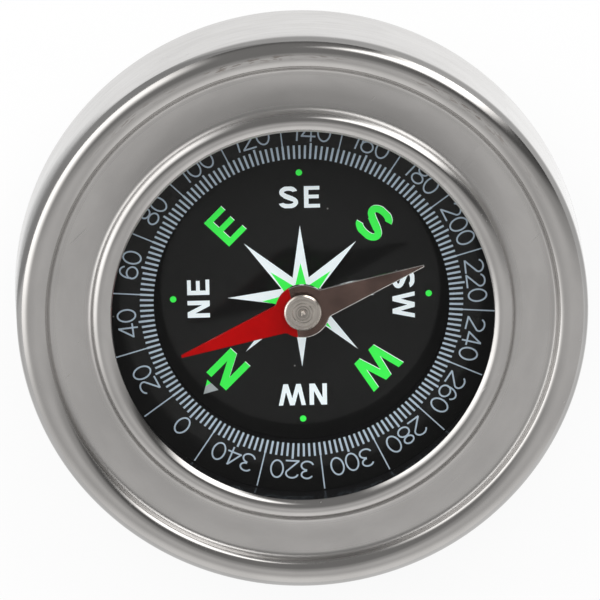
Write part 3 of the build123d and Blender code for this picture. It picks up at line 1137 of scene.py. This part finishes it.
BOX_SIDES = {"softbox_right": 32, "softbox_left": -54}  # degrees from picture up
BOX_SIZE = (0.4, 0.44)
BOX_DISTANCE = 0.42
BOX_GAIN = 1.25  # a softbox's own light over its mirror image's
TOP_SIZE = (0.8, 0.8)
TOP_PLACE = (0.32, 0.5)  # towards picture up, and above the floor
FLOOR_DROP = 0.02

# The softboxes as polished pieces mirror them: the sides in degrees where one begins, is full, ends and is gone, its
# share of their level, the heights between which it fades, and its lean in degrees at the foot
MIRRORED = (
    ((1, 18, 46, 62), 1.05, (0.58, 0.76), -17.0),
    ((-140, -74, -42, -20), 0.72, (0.3, 0.76), 0.0),
)


class COMPASS_OT_stage(bpy.types.Operator):
    """Pale floor, two softboxes, a light overhead, the room and the camera"""

    bl_idname = "compass.stage"
    bl_label = "Stage"

    def execute(self, context):
        t = context.scene.compass_stage
        self.up = Vector((math.sin(t.up_bearing), math.cos(t.up_bearing), 0))
        self.right = Vector((self.up.y, -self.up.x, 0))
        self.floor(t)
        self.room(context.scene, t)
        self.camera(context.scene, t)
        for name, side in BOX_SIDES.items():
            way = self.up * math.cos(math.radians(side)) + self.right * math.sin(math.radians(side))
            place = way * BOX_DISTANCE + Vector((0, 0, BOX_SIZE[1] / 2))
            self.lamp(name, "RECTANGLE", BOX_SIZE, t.box_level * BOX_GAIN, place)
        top = self.up * TOP_PLACE[0] + Vector((0, 0, TOP_PLACE[1]))
        self.lamp("top_light", "DISK", TOP_SIZE, t.top_level, top)
        context.scene.view_settings.view_transform = "Standard"
        return {"FINISHED"}

    def floor(self, t):
        bm = bmesh.new()
        level = Matrix.Translation((0, 0, -FLOOR_DROP * MM))
        bmesh.ops.create_grid(bm, x_segments=2, y_segments=2, size=2.0, matrix=level)
        f = Finish("floor_paper")
        f.set(
            base_color=f.mottle(f.noise(400.0, 4.0), t.floor, 0.99, 1.01),
            roughness=0.9,
            specular_ior_level=0.1,
        )
        ray = f.node("LightPath")
        seen, mirrored = ray["Is Camera Ray"], ray["Is Glossy Ray"]

        # White for the camera. In the wall's mirror the floor glows with a painted pool of light about the case that
        # dims away from it, with painted shadow most of all at picture-left
        right, up = f.along(f.place, self.right), f.along(f.place, self.up)
        far = f.spread(up, -30 * MM, 10 * MM, -0.35, -0.55)
        near = f.math("MULTIPLY_ADD", f.ease(f.radius(), 32.5 * MM, 43 * MM), far, 1.0)
        edge = f.ease(f.math("MULTIPLY_ADD", right, -0.29, f.radius()), 38.8 * MM, 40.2 * MM)
        # Painted shadow on the floor at picture-left, seen only in the wall's mirror
        painted_shadow_left = f.times(f.spread(right, -20 * MM, -8 * MM, -0.75, 0.0), f.spread(up, -12 * MM, 0.0))
        near = f.math("MINIMUM", near, f.math("MULTIPLY_ADD", painted_shadow_left, edge, 1.0))
        # Painted light a little stronger at picture-right
        near = f.times(near, f.spread(right, -12 * MM, 24 * MM, 1.0, 1.1))
        glow = f.node("Emission", {"Color": WHITE, "Strength": f.most(seen, f.times(mirrored, near))})[0]
        share = f.times(f.most(seen, mirrored), 0.9)
        f.put(f.end.inputs, {"Surface": f.mix(share, f.shader.outputs[0], glow)})
        floor = add_mesh(bm, "floor", [f.material])

    def room(self, scene, t):
        """White for the camera, an even soft light for matt surfaces, and for polished ones a room that is
        pale towards picture-down and dark behind the softboxes."""
        world = bpy.data.worlds.new("room")
        scene.world = world
        world.use_nodes = True
        world.node_tree.nodes.clear()
        w = Nodes(world.node_tree)
        way = w.node("TexCoord")["Generated"]
        up = w.along(way, self.up)
        right = w.along(way, self.right)
        tall = w.node("SeparateXYZ", {0: way})["Z"]
        pale = w.ease(up, -0.92, -0.5, 0.85, 0.53)
        hump = w.math("ADD", w.ease(up, -0.6, -0.3, 0.0, 0.04), pale)
        hump = w.math("ADD", w.ease(up, -0.22, 0.06, 0.0, -0.2), hump)
        shade = w.spread(right, -0.45, 0.05, -0.06, 0.0)
        front = w.math("MULTIPLY_ADD", shade, w.spread(up, -0.2, -0.05, 1.0, 0.0), hump)
        back = w.ease(up, 0.06, 0.3)
        wedge = w.times(w.ease(right, 0.1, 0.55, 0.22, 0.1), back)
        wedge = w.times(wedge, w.spread(tall, 0.08, 0.3, 0.6, 1.0))
        level = w.math("MULTIPLY_ADD", front, w.math("SUBTRACT", 1.0, back), wedge)

        side = w.times(w.math("ARCTAN2", right, up), 180 / math.pi)
        for (start, full, end, gone), share, (low, high), lean in MIRRORED:
            leaning = w.math("ADD", side, w.spread(tall, 0.3, 0.62, lean, 0.0))
            window = w.times(w.ease(leaning, start, full), w.ease(side, end, gone, 1.0, 0.0))
            glow = w.ease(tall, low, high, t.box_level * share, 0.0)
            level = w.math("MULTIPLY_ADD", window, glow, level)

        def background(strength, tone=WHITE):
            return w.node("Background", {"Color": tone, "Strength": strength})[0]

        ray = w.node("LightPath")
        polished = w.most(ray["Is Glossy Ray"], ray["Is Transmission Ray"])
        within = w.math("LESS_THAN", ray["Transmission Depth"], 2.5)  # mirrored inside the window glass
        glass = w.times(ray["Is Singular Ray"], w.most(ray["Is Reflection Ray"], within))
        unseen = w.mix(polished, background(t.room_level), background(level, WARM))
        unseen = w.mix(glass, unseen, background(t.sheen_level))
        end = w.tree.nodes.new("ShaderNodeOutputWorld")
        w.put(end.inputs, {"Surface": w.mix(ray["Is Camera Ray"], unseen, background(1.0))})

    def camera(self, scene, t):
        lean = self.right * math.sin(t.view_side) + self.up * math.cos(t.view_side)
        side = self.right * math.cos(t.view_side) - self.up * math.sin(t.view_side)
        axis = Vector((0, 0, 1))
        back = lean * math.sin(t.view_tilt) + axis * math.cos(t.view_tilt)
        rise = lean * math.cos(t.view_tilt) - axis * math.sin(t.view_tilt)
        across = side * math.cos(t.view_side) + rise * math.sin(t.view_side)
        upward = rise * math.cos(t.view_side) - side * math.sin(t.view_side)
        data = bpy.data.cameras.new("camera")
        data.sensor_width = 36
        data.lens = t.lens
        data.shift_x, data.shift_y = t.shift_x, t.shift_y
        camera = bpy.data.objects.new("camera", data)
        turn = Matrix((across, upward, back)).transposed().to_4x4()
        camera.matrix_world = Matrix.Translation(axis * t.view_height + back * t.view_distance) @ turn
        scene.collection.objects.link(camera)
        scene.camera = camera

    def lamp(self, name, shape, size, level, place):
        """An area light. A rectangle stands upright, and a disc faces the middle of the floor."""
        upright = shape == "RECTANGLE"
        data = bpy.data.lights.new(name, "AREA")
        data.shape = shape
        data.size = size[0]
        if upright:
            data.size_y = size[1]
        data.energy = level * math.pi * size[0] * size[1] * (1.0 if upright else math.pi / 4)
        lamp = bpy.data.objects.new(name, data)
        aim = Vector((-place.x, -place.y, 0.0 if upright else -place.z)).to_track_quat("-Z", "Y")
        lamp.matrix_world = Matrix.Translation(place) @ aim.to_matrix().to_4x4()
        lamp.visible_camera = False
        lamp.visible_glossy = False
        lamp.visible_transmission = False
        bpy.context.scene.collection.objects.link(lamp)


class COMPASS_PT_panel(bpy.types.Panel):
    bl_idname = "COMPASS_PT_panel"
    bl_label = "Pocket compass"
    bl_space_type = "VIEW_3D"
    bl_region_type = "UI"
    bl_category = "Compass"

    def draw(self, context):
        for operator in OPERATORS:
            self.layout.operator(operator.bl_idname)
        for group in SETTINGS:
            box = self.layout.box()
            settings = getattr(context.scene, group)
            for key in settings.bl_rna.properties.keys():
                if key not in {"rna_type", "name"}:
                    box.prop(settings, key)


SETTINGS = {
    "compass_case": CaseSettings,
    "compass_dial": DialSettings,
    "compass_needle": NeedleSettings,
    "compass_stage": StageSettings,
}
OPERATORS = (
    COMPASS_OT_stage,
    COMPASS_OT_shell,
    COMPASS_OT_cover,
    COMPASS_OT_window,
    COMPASS_OT_cup,
    COMPASS_OT_scale,
    COMPASS_OT_rose,
    COMPASS_OT_pivot,
    COMPASS_OT_needle,
    COMPASS_OT_packing,
)


def register():
    for kind in (*SETTINGS.values(), *OPERATORS, COMPASS_PT_panel):
        bpy.utils.register_class(kind)
    for name, group in SETTINGS.items():
        setattr(bpy.types.Scene, name, PointerProperty(type=group))


def unregister():
    for name in SETTINGS:
        delattr(bpy.types.Scene, name)
    for kind in (COMPASS_PT_panel, *OPERATORS, *SETTINGS.values()):
        bpy.utils.unregister_class(kind)


def main():
    register()
    for operator in OPERATORS:
        group, name = operator.bl_idname.split(".")
        getattr(getattr(bpy.ops, group), name)()
    bpy.context.view_layer.update()


if __name__ == "__main__":
    main()
